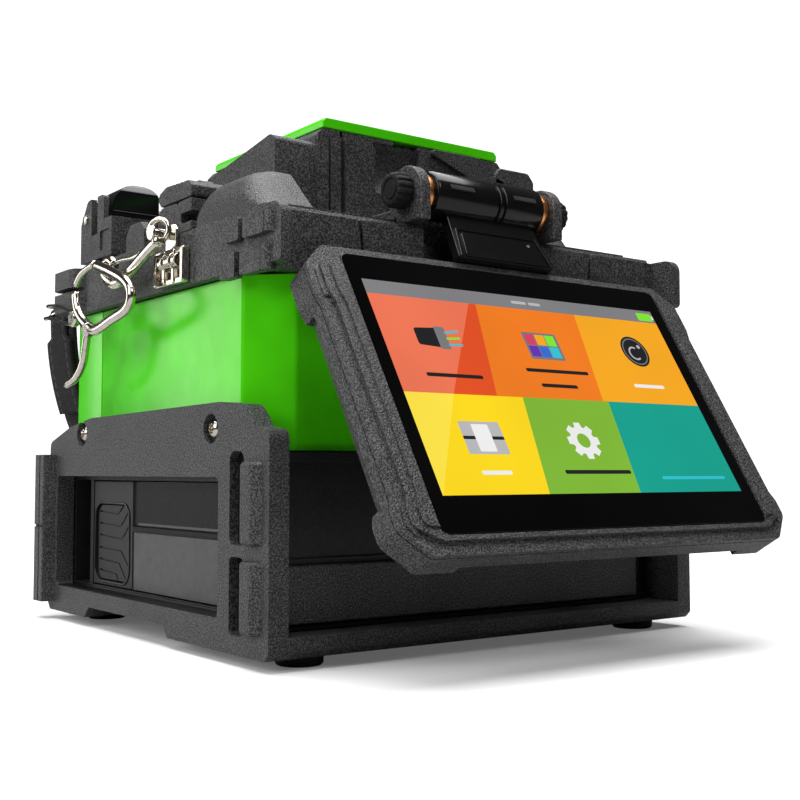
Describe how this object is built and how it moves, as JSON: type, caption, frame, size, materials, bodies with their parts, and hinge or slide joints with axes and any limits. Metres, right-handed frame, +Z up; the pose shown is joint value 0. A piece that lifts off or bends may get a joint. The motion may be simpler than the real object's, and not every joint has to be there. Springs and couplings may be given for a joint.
{
  "type": "fiber fusion splicer",
  "caption": "Bench-top fiber fusion splicer with a lean-out touch monitor, wind cover, tube heater, side-loading battery and chrome-clasped carry strap.",
  "frame": {"origin": "on the ground plane under the middle of the body, strap left out", "axes": "+X to the right as seen from the front, +Y from the monitor to the rear, +Z up"},
  "size_m": [0.1742, 0.2215, 0.1604],
  "materials": {
    "bumper": "textured rubberised black bumper, matt",
    "case": "black moulded plastic, satin",
    "battery": "dark grey moulded plastic, satin",
    "rubber": "black rubber, matt",
    "green": "gloss lime green painted shell",
    "gloss": "gloss black plastic",
    "glass": "black-bordered touch glass, polished",
    "screen": "lit display panel with a grid of coloured tiles",
    "steel": "turned steel",
    "chrome": "bright chrome plate",
    "brass": "polished brass bush",
    "board": "green solder-masked board",
    "ceramic": "ground white ceramic",
    "webbing": "black woven webbing"
  },
  "bodies": {
    "splicer": {"arc_power_module": "case", "base_bumper": "bumper", "base_screw_front_left": "chrome", "base_screw_front_right": "chrome", "base_screw_rear_left": "chrome", "base_screw_rear_right": "chrome", "body_shell": "green", "electrode_front": "steel", "electrode_rear": "steel", "foot_front_left": "rubber", "foot_front_right": "rubber", "foot_rear_left": "rubber", "foot_rear_right": "rubber", "heater_base": "bumper", "hinge_bracket": "bumper", "lower_case": "case", "main_board": "board", "microscope_camera": "steel", "rear_shell": "green", "sheath_stage_left": "bumper", "sheath_stage_right": "bumper", "splice_block": "ceramic", "strap_bracket_left": "chrome", "strap_bracket_right": "chrome", "top_bumper": "bumper", "top_deck": "bumper", "wind_cover_pin": "steel"},
    "monitor": {"monitor_back": "bumper", "monitor_bezel": "bumper", "touch_glass": "glass", "lcd_panel": "screen", "monitor_arm": "bumper", "nameplate": "gloss", "hinge_pin": "steel", "brass_bush_left": "brass", "brass_bush_right": "brass"},
    "knob_left": {"hinge_knob_left": "rubber"},
    "knob_right": {"hinge_knob_right": "rubber"},
    "hood": {"wind_cover": "bumper", "wind_cover_plate": "green"},
    "clamp_left": {"fiber_clamp_left": "steel"},
    "clamp_right": {"fiber_clamp_right": "steel"},
    "sheath_left": {"sheath_lid_left": "bumper"},
    "sheath_right": {"sheath_lid_right": "bumper"},
    "oven_lid": {"heater_lid": "gloss"},
    "oven_clamp_left": {"heater_clamp_left": "gloss"},
    "oven_clamp_right": {"heater_clamp_right": "gloss"},
    "power_key": {"key_power": "rubber"},
    "heat_key": {"key_heat": "rubber"},
    "reset_key": {"key_reset": "rubber"},
    "set_key": {"key_set": "rubber"},
    "battery": {"battery_pack": "battery"},
    "latch": {"battery_latch": "case"},
    "strap": {"carry_strap": "webbing", "snap_hook_left": "chrome", "snap_hook_right": "chrome", "strap_clasp_left": "chrome", "strap_clasp_right": "chrome"},
    "gate_left": {"hook_gate_left": "chrome"},
    "gate_right": {"hook_gate_right": "chrome"}
  },
  "joints": [
    {"name": "monitor_tilt", "type": "hinge", "parent": "splicer", "child": "monitor", "pos_m": [0, -0.04184, 0.1318], "axis": [-1, 0, 0], "range_deg": [-14, 100]},
    {"name": "hinge_knob_left_turn", "type": "hinge", "parent": "splicer", "child": "knob_left", "pos_m": [-0.0308, -0.04184, 0.1318], "axis": [1, 0, 0], "continuous": true},
    {"name": "hinge_knob_right_turn", "type": "hinge", "parent": "splicer", "child": "knob_right", "pos_m": [0.0308, -0.04184, 0.1318], "axis": [1, 0, 0], "continuous": true},
    {"name": "wind_cover_open", "type": "hinge", "parent": "splicer", "child": "hood", "pos_m": [0, 0.05766, 0.148], "axis": [-1, 0, 0], "range_deg": [0, 80]},
    {"name": "fiber_clamp_left_lift", "type": "hinge", "parent": "splicer", "child": "clamp_left", "pos_m": [-0.028, 0.03066, 0.1395], "axis": [-1, 0, 0], "range_deg": [0, 40]},
    {"name": "sheath_lid_left_open", "type": "hinge", "parent": "splicer", "child": "sheath_left", "pos_m": [-0.0618, 0.03316, 0.1365], "axis": [-1, 0, 0], "range_deg": [0, 100]},
    {"name": "fiber_clamp_right_lift", "type": "hinge", "parent": "splicer", "child": "clamp_right", "pos_m": [0.028, 0.03066, 0.1395], "axis": [-1, 0, 0], "range_deg": [0, 40]},
    {"name": "sheath_lid_right_open", "type": "hinge", "parent": "splicer", "child": "sheath_right", "pos_m": [0.0618, 0.03316, 0.1365], "axis": [-1, 0, 0], "range_deg": [0, 100]},
    {"name": "heater_lid_open", "type": "hinge", "parent": "splicer", "child": "oven_lid", "pos_m": [0, 0.09086, 0.14], "axis": [-1, 0, 0], "range_deg": [0, 100]},
    {"name": "heater_clamp_left_open", "type": "hinge", "parent": "splicer", "child": "oven_clamp_left", "pos_m": [-0.0606, 0.09086, 0.14], "axis": [-1, 0, 0], "range_deg": [0, 100]},
    {"name": "heater_clamp_right_open", "type": "hinge", "parent": "splicer", "child": "oven_clamp_right", "pos_m": [0.0606, 0.09086, 0.14], "axis": [-1, 0, 0], "range_deg": [0, 100]},
    {"name": "key_power_press", "type": "slide", "parent": "splicer", "child": "power_key", "axis": [0, 0, -1], "range_m": [0, 0.001], "stiffness_N_per_m": 500, "springref_m": -0.0006},
    {"name": "key_heat_press", "type": "slide", "parent": "splicer", "child": "heat_key", "axis": [0, 0, -1], "range_m": [0, 0.001], "stiffness_N_per_m": 500, "springref_m": -0.0006},
    {"name": "key_reset_press", "type": "slide", "parent": "splicer", "child": "reset_key", "axis": [0, 0, -1], "range_m": [0, 0.001], "stiffness_N_per_m": 500, "springref_m": -0.0006},
    {"name": "key_set_press", "type": "slide", "parent": "splicer", "child": "set_key", "axis": [0, 0, -1], "range_m": [0, 0.001], "stiffness_N_per_m": 500, "springref_m": -0.0006},
    {"name": "battery_slide", "type": "slide", "parent": "splicer", "child": "battery", "axis": [-1, 0, 0], "range_m": [0, 0.135]},
    {"name": "battery_latch_press", "type": "slide", "parent": "battery", "child": "latch", "axis": [1, 0, 0], "range_m": [0, 0.0015], "stiffness_N_per_m": 600, "springref_m": -0.0008},
    {"name": "strap_swing", "type": "hinge", "parent": "splicer", "child": "strap", "pos_m": [0, 0.00716, 0.121], "axis": [1, 0, 0], "range_deg": [0, 130]},
    {"name": "hook_gate_left_open", "type": "hinge", "parent": "strap", "child": "gate_left", "pos_m": [-0.0856, 0.06166, 0.1118], "axis": [1, 0, 0], "range_deg": [0, 20], "stiffness_Nm_per_rad": 0.01, "springref_deg": -17.19},
    {"name": "hook_gate_right_open", "type": "hinge", "parent": "strap", "child": "gate_right", "pos_m": [0.0856, 0.06166, 0.1118], "axis": [1, 0, 0], "range_deg": [0, 20], "stiffness_Nm_per_rad": 0.01, "springref_deg": -17.19}
  ],
  "couplings": [
    {"joint": "fiber_clamp_left_lift", "follows": "wind_cover_open", "ratio": 0.5},
    {"joint": "fiber_clamp_right_lift", "follows": "wind_cover_open", "ratio": 0.5},
    {"joint": "heater_clamp_left_open", "follows": "heater_lid_open", "ratio": 1},
    {"joint": "heater_clamp_right_open", "follows": "heater_lid_open", "ratio": 1}
  ]
}
